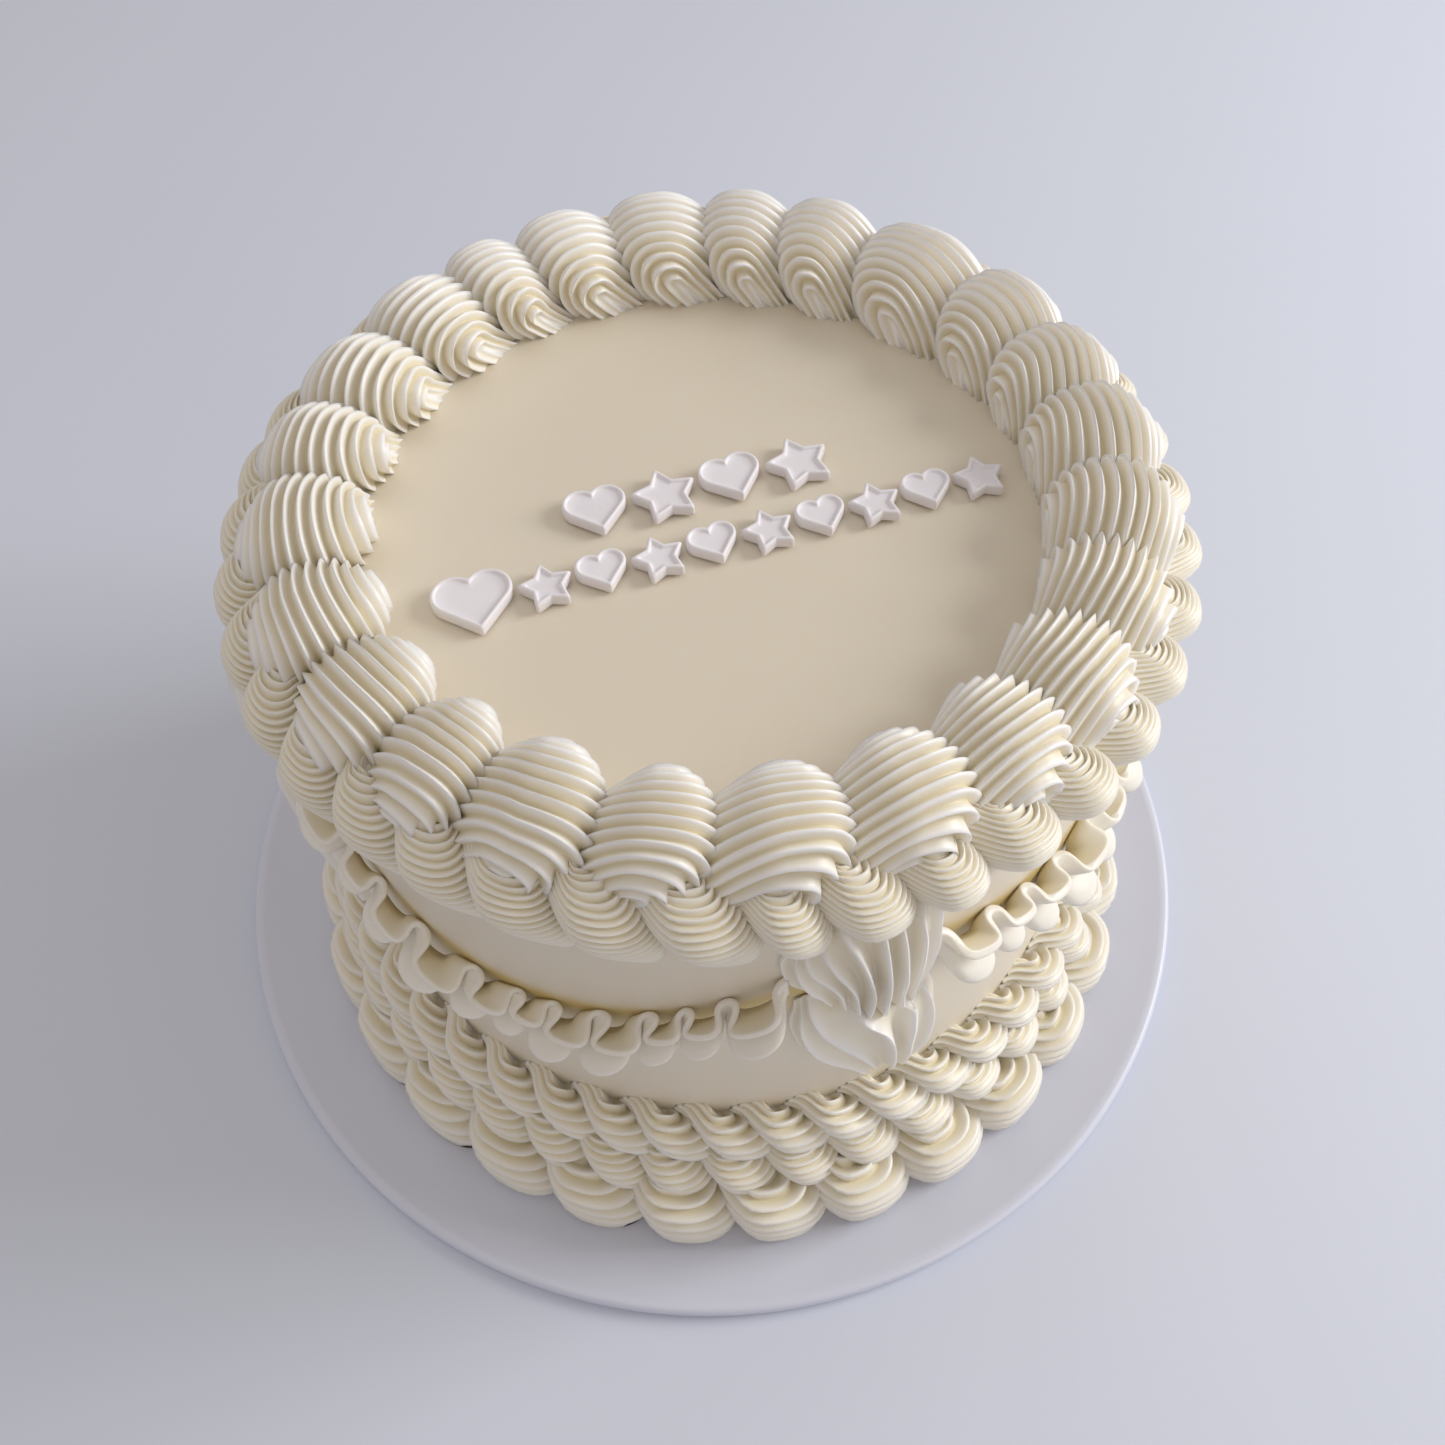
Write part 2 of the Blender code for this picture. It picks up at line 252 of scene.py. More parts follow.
# %% [markdown]
# Every piece is a surface worked out with numpy as one big array of points, so
# one helper carries all of them into Blender. It fills a mesh with foreach_set,
# which is much faster than adding points one by one. A number for each point
# says how much painted shade it takes, mostly by how deep in a groove it lies,
# and the finish reads it.

# %% a helper that makes a piece
triangles_made = {}


def paint_shade_share(mesh, groove):
    """Give every point its share, from 0 to 1, of the finish's deep colour, which is painted
    shade.
    """
    deep = mesh.attributes.new("groove", "FLOAT", "POINT")
    deep.data.foreach_set("value", groove.astype(np.float32).ravel())


def make_piece(name, points, quads, triangles, material, slot, replaced, groove=None):
    """A smooth piece from points in millimetres and faces of four corners and of
    three. It rides on the cake and stands for its solids. groove is each
    point's share of the deep colour, which is painted shade."""
    corners = np.concatenate([quads.ravel(), triangles.ravel()]).astype(np.int32)
    starts = np.concatenate([np.arange(len(quads)) * 4,
                             len(quads) * 4 + np.arange(len(triangles)) * 3])
    mesh = bpy.data.meshes.new(name)
    mesh.vertices.add(len(points))
    mesh.vertices.foreach_set("co", (points * MM).astype(np.float32).ravel())
    mesh.loops.add(len(corners))
    mesh.loops.foreach_set("vertex_index", corners)
    mesh.polygons.add(len(starts))
    mesh.polygons.foreach_set("loop_start", starts.astype(np.int32))
    mesh.update(calc_edges=True)
    mesh.shade_smooth()
    mesh.materials.append(material)
    if groove is not None:
        paint_shade_share(mesh, groove)
    piece = add_object(name, mesh)
    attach(piece, "root")
    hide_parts(*replaced)
    triangles_made[name] = 2 * len(quads) + len(triangles)
    print(f"{name}: {triangles_made[name]} triangles")
    return piece


# %% [markdown]
# All surfaces here are stacks of rings. Each ring of points is closed round,
# neighbouring rings are joined by four-cornered faces, and a fan of triangles
# closes either end on a point of its own. So one helper numbers the faces of
# everything. The others place points round an axis, find which way a surface
# faces, and give the small differences that anything made by hand has.

# %% helpers for rings of points
def skin_faces(shape, crosswise=False, flipped=False):
    """Faces of a closed skin over a grid of points: points j and j + 1 of a
    ring are joined to those of the next ring, and two fans join the first and
    the last ring to two points numbered after the grid's. The rings are the
    grid's rows, or its columns if crosswise. flipped turns every face over."""
    rings = np.arange(math.prod(shape)).reshape(shape)
    rings = rings.T if crosswise else rings
    after = np.roll(rings, -1, axis=1)
    quads = np.stack([rings[:-1], after[:-1], after[1:], rings[1:]], axis=-1).reshape(-1, 4)
    first_end = np.full_like(rings[0], rings.size)
    fans = np.concatenate([np.stack([first_end, after[0], rings[0]], axis=-1),
                           np.stack([first_end + 1, rings[-1], after[-1]], axis=-1)])
    if flipped:
        quads, fans = quads[:, [0, 3, 2, 1]], fans[:, [0, 2, 1]]
    return quads, fans


def round_the_cake(radius, direction, height, middle=(axis_x, axis_y)):
    """Points at a radius from the axis through middle, a direction in radians
    and a height above the table."""
    radius, direction, height = np.broadcast_arrays(radius, direction, height)
    return np.stack([middle[0] + radius * np.cos(direction),
                     middle[1] + radius * np.sin(direction), height], axis=-1)


def unit_normal(first, second):
    """The cross product of two directions at every point, made 1 long."""
    normal = np.cross(first, second)
    return normal / (np.linalg.norm(normal, axis=-1, keepdims=True) + 1e-9)


def uneven(index, salt):
    """A fixed, irregular number from -1 to 1 for each piece of a series: the
    sine of a large multiple of its index, shifted by a salt."""
    return np.sin(12.9898 * (index + 1) + 4.1414 * salt)


print("the first four uneven numbers:", np.round(uneven(np.arange(4), 1), 2))

# %% [markdown]
# A turned piece is a profile carried round an axis. The board and the coat of
# icing are both turned, so one helper makes them: the profile is a row of
# radius and height pairs from the bottom middle to the top middle, and each
# pair between those two becomes a ring.

# %% a helper for turned pieces
CORNER_STEPS = 7


def turned(profile, sides, middle, wobble=None):
    """Points and faces for a profile of (radius, height) pairs, turned round
    the axis through middle. Its two end pairs are points on the axis.
    wobble(radius, direction, height) gives an offset along radius and height."""
    profile = np.array(profile, dtype=float)
    direction = np.linspace(0, 2 * np.pi, sides, endpoint=False)
    radius, turn = np.meshgrid(profile[1:-1, 0], direction, indexing="ij")
    height = np.broadcast_to(profile[1:-1, 1][:, None], radius.shape)
    if wobble is not None:
        out, rise = wobble(radius, turn, height)
        radius, height = radius + out, height + rise
    rings = round_the_cake(radius, turn, height, middle)
    ends = round_the_cake(0.0, 0.0, profile[[0, -1], 1], middle)
    return (np.concatenate([rings.reshape(-1, 3), ends]), *skin_faces(radius.shape))


def rounded_corner(radius, height, size, start):
    """A quarter circle of the profile about (radius, height), anticlockwise
    from start in degrees."""
    turn = np.radians(np.linspace(start, start + 90, CORNER_STEPS))
    return np.stack([radius + size * np.cos(turn), height + size * np.sin(turn)], axis=-1)


print("a rounded corner has", CORNER_STEPS, "points")

# %% [markdown]
# The board is thick card wrapped in embossed paper. The paper is drawn tight
# over the edge, so the rim is rounded, and a thin band at the very edge stands
# a hair higher than the rest and catches the light.

# %% the board
BOARD_SIDES = 240
EDGE_ROUND = 1.6
BAND_WIDTH = 1.8
BAND_RISE = 0.25
BAND_SLOPE = 0.6
# Rings on the flat faces: so far inside the rim below and above, and so far
# inside the cake's wall.
RING_BELOW, RING_ABOVE, RING_HIDDEN = 40, 30, 10
flat_top = board_top - BAND_RISE
band_inside = board_radius - EDGE_ROUND - BAND_WIDTH
board_profile = np.concatenate([
    [(0, 0), (board_radius - RING_BELOW, 0)],
    rounded_corner(board_radius - EDGE_ROUND, EDGE_ROUND, EDGE_ROUND, -90),
    rounded_corner(board_radius - EDGE_ROUND, board_top - EDGE_ROUND, EDGE_ROUND, 0),
    [(band_inside, board_top), (band_inside - BAND_SLOPE, flat_top),
     (board_radius - RING_ABOVE, flat_top), (wall_radius - RING_HIDDEN, flat_top),
     (0, flat_top)]])
make_piece("board_drum", *turned(board_profile, BOARD_SIDES, (board_low + board_high) / 2),
           board_paper, "board", ["board"])

# %% [markdown]
# The coat of icing is smoothed with a long knife while the cake turns on a
# wheel. That leaves a wall that is nearly true but never quite, and a top edge
# that is pulled over softly.

# %% the smooth coat of icing
COAT_SIDES = 288
COAT_ROWS = 100
COAT_RINGS = 43
COAT_EDGE = 2.2
COAT_FOOT = 1.0
INNERMOST_RING = 2.0
WAVE_DEPTH = 0.06
RING_DEPTH = 0.05
coat_heights = np.linspace(cake_low[2] + COAT_FOOT, cake_top - COAT_EDGE, COAT_ROWS)
coat_rings = np.linspace(wall_radius - COAT_EDGE, INNERMOST_RING, COAT_RINGS + 1)[1:]
coat_profile = np.concatenate([
    [(0, cake_low[2]), (wall_radius - COAT_FOOT, cake_low[2])],
    np.stack([np.full(COAT_ROWS, wall_radius), coat_heights], axis=-1),
    rounded_corner(wall_radius - COAT_EDGE, cake_top - COAT_EDGE, COAT_EDGE, 0)[1:],
    np.stack([coat_rings, np.full(COAT_RINGS, cake_top)], axis=-1),
    [(0, cake_top)]])


def knife_marks(radius, turn, height):
    """The sum of three slow waves round the wall, and of two round the top. No
    mark is deeper than 0.3 mm, and all go inwards or downwards."""
    at_wall = np.clip(radius - (wall_radius - 1.0), 0, 1)
    waves = (np.sin(3 * turn + height / 31.0) + np.sin(5 * turn - height / 17.0 + 1.3)
             + 0.5 * np.sin(height / 5.3 + 0.7 * np.sin(2 * turn)))
    at_top = np.where(height > cake_top - 0.01, 1.0, 0.0)
    rings = (np.sin(radius / 7.0 + 1.2 * np.sin(turn + 0.4))
             + np.sin(2 * turn + radius / 19.0))
    return -WAVE_DEPTH * at_wall * (waves + 2.5), -RING_DEPTH * at_top * (rings + 2.0)


coat_surface = turned(coat_profile, COAT_SIDES, (axis_x, axis_y), knife_marks)
coat = make_piece("cake_coat", *coat_surface, smooth_icing, "smooth_icing", ["cake_body"])

# %% [markdown]
# A shell is piped in one move: squeeze at the spot until a head swells up,
# roll over it, then pull away and down to a tail. The nozzle's teeth cut
# grooves that follow that move, so every ridge is an arch. It starts at the
# foot of the blunt head, climbs, rolls over the top and runs down to the tail.
# We need two curves first: the nozzle's cut across the ridges, and the arch of
# the highest ridge, seen from the side.

# %% a nozzle's cut and a shell's crest
RIDGE_BLUNT = 1.2


def star_ridges(phase, hollow):
    """The relief of a star nozzle: 0 in a groove, where phase is whole, and 1
    on the ridge half a phase on. With away going from 0 to 1 between them, it
    is 1 - (1 - away^hollow)^1.2, and hollow above 1 rounds the grooves."""
    away = np.abs(2 * (phase - np.round(phase)))
    return 1 - (1 - away ** hollow) ** RIDGE_BLUNT


def shell_arch(steps_leg, steps_head, steps_tail, boxy, fall):
    """The crest of a shell in side view, for a head, tail and rise of 1: an
    upright leg, a squared quarter circle for the head, then (1 - t^2.2)^fall
    down the tail. Returns how far forward, how far back, how high in the arch
    and how high up the leg each step is."""
    head = np.linspace(0, np.pi / 2, steps_head)
    tail = np.linspace(0, 1, steps_tail + 1)[1:]
    none = np.zeros(steps_leg)
    fore = np.concatenate([none + 1, np.cos(head) ** (2 / boxy), np.zeros(steps_tail)])
    fore[steps_leg + steps_head - 1] = 0
    back = np.concatenate([np.zeros(steps_leg + steps_head), tail])
    slope = (1 - tail ** 2.2) ** fall
    high = np.concatenate([none, np.sin(head) ** (2 / boxy), slope])
    leg = np.concatenate([np.linspace(0, 1, steps_leg + 1)[:-1], np.ones(steps_head), slope])
    return fore, back, high, leg


print("from a groove to a ridge:", np.round(star_ridges(np.linspace(0, 0.5, 6), 1.4), 2))

# %% [markdown]
# Seen from the side, a shell's arches nest inside each other like a rainbow.
# That gives the formula. One parameter goes along the arch, the other across
# the shell, from the middle of the rainbow on one side, over the crest, to its
# middle on the other side. All arches are the crest's arch made smaller, by
# the cosine of the angle across.

# %% the shape of piped shells
SIZE_SPREAD = 0.05
SQUARED = 0.1
RIDGE_WANDER = 0.035
TAIL_DRIFT = 0.08
CREST_LEG = 0.12
CURL_REACH = 1.4
LAID_IN = 0.6


def piped_shells(count, salt, nose, tail, rise, half, ridges, samples, depth, steps,
                 lean, base, fall, curl, boxy=2.1, hollow=1.4, pinch=0.4, bulge=0.2,
                 gather=0.0, shear=0.0, slant=0.0, trim=0.0, below=1.0, flat=0.0):
    """Points of count shells, as an array of (shell, row, column, 3) with
    forward, across and up in millimetres, the two poles of each shell, and
    how deep in a groove each point lies. A shell reaches nose forward, tail
    back, rise up and half to each side. It has so many ridges of so many
    samples, up to depth high, and steps for the leg, the head and the tail.

    For the angle a across, an arch is cos a times the crest's arch, and it
    stands on legs as long as base * rise * sin^2 a. Everything leans forward
    by lean * up, and below the legs' tops it sweeps back by curl, which makes
    the sides of a shell S-shaped. gather crowds the ridges to one side, bulge
    widens those at the crest, shear slides one side forward and slant turns
    the head to it. pinch narrows the tail, and trim narrows it on the lower
    side only, which is below times as wide as the other and flattened by flat
    from a dome towards a cone. Ridges stand out along the normal, never
    further than they are wide."""
    index = np.arange(count)[:, None, None]
    nose, tail, half, rise = (np.broadcast_to(size, count)[:, None, None]
                              for size in (nose, tail, half, rise))

    def vary(kind):
        return 1 + SIZE_SPREAD * uneven(index, salt + 0.37 * kind)

    across = np.linspace(-1, 1, ridges * samples + 1)[None, None, 1:-1]
    fore, back, high, leg = (part[None, :, None] for part in shell_arch(*steps, boxy, fall))
    progress = np.linspace(0, 1, fore.shape[1])[None, :, None]
    wander = RIDGE_WANDER * (1 - across ** 2) * np.sin(
        5.0 * progress + 6.0 * uneven(index, salt + 1.9) + 2.0 * across)
    place = across + gather * (1 - across ** 2) + wander
    angle = np.pi / 2 * (place + bulge * np.sin(np.pi * place) / np.pi)
    narrow = np.cos(angle) * (1 + SQUARED * np.sin(angle) ** 2)
    side = np.sin(angle) * (1 + SQUARED * np.cos(angle) ** 2)
    low_side = np.clip(side, 0, 1)

    along = fore * nose * vary(1) - back * tail * vary(2)
    width = half * vary(4) * (1 + (below - 1) * low_side)
    width = width * (1 - pinch * back ** 2 - trim * np.sin(np.pi / 2 * back) * low_side)
    across_mm = (width * side + slant * along
                 + TAIL_DRIFT * tail * uneven(index, salt + 2.3) * back * narrow)
    height = rise * vary(3)
    legs = base * height * (CREST_LEG + (1 - CREST_LEG) * side ** 2) * (1 - flat * low_side)
    dome = narrow + flat * low_side * (1 - low_side - narrow)
    up_mm = height * dome * (1 - CREST_LEG * base) * high + legs * leg
    low = np.clip(1 - up_mm / (CURL_REACH * base * height), 0, 1) ** 1.5
    forward_mm = (along * narrow + lean * up_mm
                  + (shear + SIZE_SPREAD / 2 * uneven(index, salt + 3.1)) * across_mm
                  - curl * (1 + 0.6 * uneven(index, salt + 3.7)) * low * side ** 2)
    smooth = np.stack(np.broadcast_arrays(
        forward_mm, across_mm, up_mm - LAID_IN * (1 - leg)), axis=-1)

    along_columns = np.gradient(smooth, axis=2)
    normal = unit_normal(along_columns, np.gradient(smooth, axis=1))
    ridge_width = samples * np.linalg.norm(along_columns, axis=-1)
    relief = star_ridges(ridges / 2 * across, hollow)
    inside = 1 - np.abs(across)
    fade = np.clip(8 * inside, 0, 1)
    push = (np.minimum(depth, ridge_width) * (0.5 + 0.5 * leg) * relief
            * np.clip(4 * inside, 0.05, 1) * fade)
    ridged = smooth + normal * push[..., None]
    poles = ridged[:, :, [0, -1]].mean(axis=1)
    return ridged, poles, (1 - relief) * fade + np.zeros(push.shape)


print("shells differ by", SIZE_SPREAD, "of their size either way")

# %% [markdown]
# A border is a ring of shells, each laid over the tail of the one before it.
# Forward is along the ring. On the top of the cake, across is away from the
# middle and up is up. On the wall, across is down and up is away from the wall.
# The middle of a shell's rainbow lies a share, called start, of the way from
# one joint to the next.

# %% helpers for borders
# The most painted shade that a groove of a border takes.
GROOVE_PAINTED_SHADE = 0.8
FRONT = math.radians(263.0)
SPREAD_OF_PLACE = 0.07


def gaps_after(joints):
    """How far the next joint is from each joint, in radians."""
    return (np.roll(joints, -1) - joints) % (2 * np.pi)


def even_joints(count, salt):
    """Joints at equal steps round the cake, each moved by up to SPREAD_OF_PLACE
    of a step."""
    index = np.arange(count)
    return FRONT + (index - 0.5 + SPREAD_OF_PLACE * uneven(index, salt)) * 2 * np.pi / count


def border(name, joints, start, shells, mapped, replaced, shade=0.0):
    """A ring of shells as one piece. joints holds the direction of the joint
    before each shell, and mapped(forward, across, up, direction) places shell
    coordinates round the cake. Grooves take up to GROOVE_PAINTED_SHADE of the deep
    colour, and everything takes the share called shade."""
    ridged, poles, deep = shells
    count, rows, columns = deep.shape
    origin = joints + start * gaps_after(joints)
    local = np.concatenate([ridged.reshape(count, -1, 3), poles], axis=1)
    points = mapped(*np.moveaxis(local, -1, 0), origin[:, None])
    offsets = np.arange(count)[:, None, None] * (rows * columns + 2)
    faces = skin_faces((rows, columns), crosswise=True, flipped=True)
    quads, fans = ((kind + offsets).reshape(-1, kind.shape[1]) for kind in faces)
    # The deep colour is painted shade: up to the largest share in the grooves, and the share
    # called shade over the whole ring.
    groove = shade + (GROOVE_PAINTED_SHADE - shade) * deep.reshape(count, -1)
    groove = np.pad(groove, ((0, 0), (0, 2)), constant_values=shade)
    make_piece(name, points.reshape(-1, 3), quads, fans, piped_icing, "piped_icing",
               replaced, groove)


print("four even joints, in degrees:", np.degrees(even_joints(4, 1)).round())

# %% [markdown]
# The border on the top rim has 24 large shells, piped with a wide star nozzle
# that leaves fifteen deep ridges. Each joint is a deep notch in a direction of
# its own, and the shells at the back are wider and sit further in. Their outer
# foot hangs a little over the edge of the cake.

# %% the border on the top rim
TOP_JOINTS = np.radians([
    254.6, 268.2, 284.0, 299.0, 313.0, 327.5, 342.0, 357.0, 372.5, 385.0, 400.5, 420.0,
    433.7, 447.3, 463.5, 478.5, 490.8, 507.0, 523.0, 537.5, 554.5, 570.5, 586.0, 599.0])
TOP_SAG = 4.5
TOP_RISE = 16.2
TOP_MIDDLE, MIDDLE_BEHIND = 93.6, -3.3
TOP_HALF, HALF_BEHIND = 14.2, 2.3
top_gaps = gaps_after(TOP_JOINTS)
top_behind = np.sin(TOP_JOINTS + top_gaps / 2)
top_middle = TOP_MIDDLE + MIDDLE_BEHIND * top_behind
top_half = TOP_HALF + HALF_BEHIND * top_behind
top_length = top_gaps * top_middle
print(f"shells from {top_length.min():.1f} to {top_length.max():.1f} mm long")


def on_top(forward_mm, across_mm, up_mm, direction):
    """A placing function for shells on the rim: across adds to the radius, and
    their outer foot sags by the square of its share of the half width."""
    middle, half = top_middle[:, None], top_half[:, None]
    sag = TOP_SAG * np.clip(across_mm / half, 0, 1) ** 2
    return round_the_cake(middle + across_mm, direction + forward_mm / middle,
                          cake_top + up_mm - sag)


top_shells = piped_shells(
    len(TOP_JOINTS), 1, nose=0.62 * top_length, tail=0.52 * top_length, rise=TOP_RISE,
    half=top_half, ridges=15, samples=7, depth=3.6, steps=(4, 15, 13), lean=0.42,
    base=0.34, fall=0.55, curl=3.5, boxy=2.5, pinch=0.06, bulge=0.0)
border("top_border", TOP_JOINTS, 0.33, top_shells, on_top, ["top_shells"])

# %% [markdown]
# On the wall the same move is made sideways. Under the rim runs a border of 38
# smaller shells, piped with a fine nozzle. They fan out downwards: their lower
# side is more than twice as wide as the upper one and flatter, and its ridges
# slide forward.

# %% the border under the rim
def on_wall(middle, ring_radius, half, lowest=0.0, tuck=0.0):
    """A placing function for shells on the wall: up is away from the wall.
    tuck draws the upper edge in towards the cake's axis, by the square of its
    share of the half width, and lifts it by 0.3 times as much."""
    def place(forward_mm, across_mm, up_mm, direction):
        upper = np.clip(-across_mm / half, 0, 1) ** 2
        height = np.maximum(board_top + middle - across_mm + 0.3 * tuck * upper, lowest)
        return round_the_cake(wall_radius + up_mm - tuck * upper,
                              direction + forward_mm / ring_radius, height)
    return place


UNDER_JOINTS = np.radians([
    224.0, 233.4, 242.7, 252.2, 262.1, 272.8, 280.3, 289.8, 298.6, 308.6, 318.0,
    *np.linspace(318.0, 584.0, 29)[1:-1]])
UNDER_MIDDLE = 161.0
UNDER_HALF = 9.0
under_low, under_high = box_mm("under_shells")
under_rise = (under_high[0] - under_low[0]) / 2 - wall_radius
under_radius = wall_radius + under_rise / 2
under_length = gaps_after(UNDER_JOINTS) * under_radius
under_shells = piped_shells(
    len(UNDER_JOINTS), 3, nose=0.64 * under_length, tail=0.8 * under_length,
    rise=0.98 * under_rise, half=UNDER_HALF, ridges=22, samples=5, depth=1.6,
    steps=(2, 11, 9), lean=0.25, base=0.25, fall=5.0, curl=0.5, pinch=0.15, bulge=0.0,
    gather=-0.05, shear=0.34, slant=0.12, trim=0.5, below=2.2, flat=0.9)
border("under_border", UNDER_JOINTS, 0.36, under_shells,
       on_wall(UNDER_MIDDLE, under_radius, UNDER_HALF, tuck=5.0), ["under_shells"],
       shade=0.2)

# %% [markdown]
# Three rows stand at the foot. The lowest is bold, with few deep ridges, and
# rests on the board. The middle one is finer, and the highest is small and
# slanted, so that it looks like a rope. How far each row reaches out is read
# from its solid.

# %% the three rows at the foot
# Row: how many shells, salt, height of its middle above the board, and shape.
FOOT_ROWS = {
    "low": (29, 5, 10.0, dict(half=14.0, ridges=11, samples=8, depth=3.4, lean=0.15,
                              base=0.3, shear=0.12, slant=0.15, boxy=2.8,
                              steps=(2, 14, 11))),
    "middle": (41, 7, 26.0, dict(half=12.0, ridges=15, samples=6, depth=1.5, lean=0.25,
                                 base=0.12, shear=0.3, slant=0.25, steps=(2, 12, 9))),
    "high": (47, 9, 41.5, dict(half=9.0, ridges=9, samples=8, depth=2.4, lean=0.25,
                               base=0.12, shear=0.3, slant=0.4, steps=(2, 11, 9))),
}
OVER_THE_BOARD = 0.1
for row, (count, salt, middle, shape) in FOOT_ROWS.items():
    row_low, row_high = box_mm(f"foot_row_{row}")
    row_rise = (row_high[0] - row_low[0]) / 2 - wall_radius
    row_radius = wall_radius + row_rise / 2
    length = 2 * math.pi * row_radius / count
    row_shells = piped_shells(count, salt, nose=0.72 * length, tail=0.8 * length,
                              rise=0.98 * row_rise, fall=3.4, curl=1.0, hollow=1.3,
                              **shape)
    border(f"foot_border_{row}", even_joints(count, salt), 0.3, row_shells,
           on_wall(middle, row_radius, shape["half"], board_top + OVER_THE_BOARD),
           [f"foot_row_{row}"], shade=0.2)

# %% [markdown]
# The ribbon hangs round the wall in four swags. It is piped with a petal
# nozzle, whose slot lays down a flat strip: the hand shakes to and fro, and the
# strip folds. Seen from above its top edge is a river that meanders: a narrow
# loop against the wall, a strand out, a tight bend and a long run. A table of
# headings, from one loop to the next, is the simplest way to write such a line.

# %% how the ribbon meanders
RIBBON_WAVES = 11
RIBBON_COLUMNS = RIBBON_WAVES * 40 + 1
# Share of a wave's length, and the heading there in degrees, above 0 towards
# the wall.
LIP_HEADINGS = ((0.0, 0), (0.13, -98), (0.30, -106), (0.38, -18), (0.60, 8), (0.69, 84),
                (0.86, 106), (1.0, 0))
PETAL_HEADINGS = ((0.0, 0), (0.05, -80), (0.16, -80), (0.28, -20), (0.5, 0), (0.72, 20),
                  (0.84, 80), (0.95, 80), (1.0, 0))


def meander(headings, salt):
    """A meander of RIBBON_WAVES waves, as the distances along (0 to 1) and
    aside (0 at the loops, 1 at the widest) of points at equal steps of its
    length. It is the sum of steps that follow the headings, which are smoothed
    over five points and stronger in some waves than in others."""
    s = np.linspace(0, RIBBON_WAVES, RIBBON_COLUMNS)
    wave = np.floor(s)
    share, degrees = np.array(headings).T
    heading = np.radians(np.interp(s - wave, share, degrees))
    heading = heading * (1 + 0.10 * uneven(wave, salt)) + 0.12 * uneven(wave, salt + 0.7)
    heading = np.convolve(np.pad(heading, 2, mode="edge"), np.ones(5) / 5, mode="valid")
    step = 1 + 0.22 * np.sin(1.7 * s + 2.0 * salt)
    along, aside = np.cumsum(step * np.cos(heading)), -np.cumsum(step * np.sin(heading))
    along = (along - along[0]) / (along[-1] - along[0])
    loops = np.linspace(0, RIBBON_COLUMNS - 1, RIBBON_WAVES + 1).astype(int)
    aside = aside - np.interp(np.arange(RIBBON_COLUMNS), loops, aside[loops])
    return along, aside / aside.max()


print("a ribbon has", RIBBON_WAVES, "waves of", RIBBON_COLUMNS // RIBBON_WAVES, "points")

# %% [markdown]
# The middle of the strip clings to the wall, and the lower edge swings in wide
# petals. So the strip is a sheet of two parameters, along and down: it follows
# one meander at the top and another at the bottom, and between them it is
# pulled straight against the wall.

# %% the ribbon as a sheet
RIBBON_ROWS = 13
RIBBON_TOP_ENDS = 129.0
RIBBON_NEAREST = 1.0
SWING_OUT, SWING_OUT_BELOW = 8.8, 3.0
BEND_DIP = 3.0
CLING_AT = 0.62
CLING_FADE = 0.2


def ribbon_sheet(sag, tall, crease, salt, start, turn):
    """Points (row, column, 3) of the middle of a ruffled ribbon, and how deep
    in the ribbon's cups each lies. Its line is a parabola that hangs by sag,
    from the direction start through turn. The top row follows one meander and
    the bottom row another. Between them, where cling is 1, the sheet lies
    straight against the wall, a share called crease of its height down."""
    lip_along, lip_aside = meander(LIP_HEADINGS, salt)
    petal_along, petal_aside = meander(PETAL_HEADINGS, salt)
    even = np.linspace(0, 1, RIBBON_COLUMNS)
    down = (0.5 - 0.5 * np.cos(np.pi * np.linspace(0, 1, RIBBON_ROWS)))[:, None]
    inward = np.clip(down / CLING_AT, 0, 1)
    cling = np.where(down < CLING_AT, inward ** 1.4,
                     np.exp(-((down - CLING_AT) / CLING_FADE) ** 2))
    mix = down ** 2 * (3 - 2 * down)
    along = (lip_along * (1 - mix) + petal_along * mix) * (1 - 0.6 * cling) + 0.6 * cling * even
    aside = lip_aside * (1 - mix) + petal_aside * mix
    out = RIBBON_NEAREST + aside * (SWING_OUT + SWING_OUT_BELOW * down) * (1 - 0.85 * cling)
    hang = sag * (1 - (2 * along - 1) ** 2)
    drop = (crease * inward ** 1.2
            + (1 - crease) / (1 - CLING_AT) * np.clip(down - CLING_AT, 0, 1))
    height = (RIBBON_TOP_ENDS - hang - BEND_DIP * aside * (1 - down)
              - tall * drop * (0.75 + 0.25 * np.clip(aside, 0, 1)))
    points = round_the_cake(wall_radius + np.maximum(out, RIBBON_NEAREST),
                            start + turn * along, board_top + height)
    cup = np.where(down < CLING_AT, inward ** 0.7, 0.4 * cling)
    return points, cup + np.zeros(out.shape)


print("its top edge ends", RIBBON_TOP_ENDS, "mm above the board")

# %% [markdown]
# A rounded slot carried over the sheet gives its thickness: one skin in front
# and one behind, drawn together at the two edges. The whole ribbon takes some
# of the deep colour as painted shade, and the front stays pale. The cups behind
# take more, painted for the light that reaches them only through the icing.

# %% the four ribbons
QUARTER = math.radians(90.0)
DROP_DIRECTIONS = [math.radians(287.0) - QUARTER * index for index in range(4)]
RIBBON_CLEARANCE = math.radians(9.5)
# Of each swag: its sag, its height and the share of it that is above the line
# where it clings to the wall, and half its thickness.
RIBBONS = ((25.0, 10.5, 0.42, 0.8), (20.0, 12.0, 0.42, 0.8),
           (20.0, 12.0, 0.42, 0.8), (15.0, 14.0, 0.35, 1.1))
# Painted shade on a ribbon: a share all over, more in the cups, and on the front only a part of
# the cups' share.
RIBBON_PAINTED_SHADE, CUP_PAINTED_SHADE, FRONT_SHARE = 0.3, 0.5, 0.3


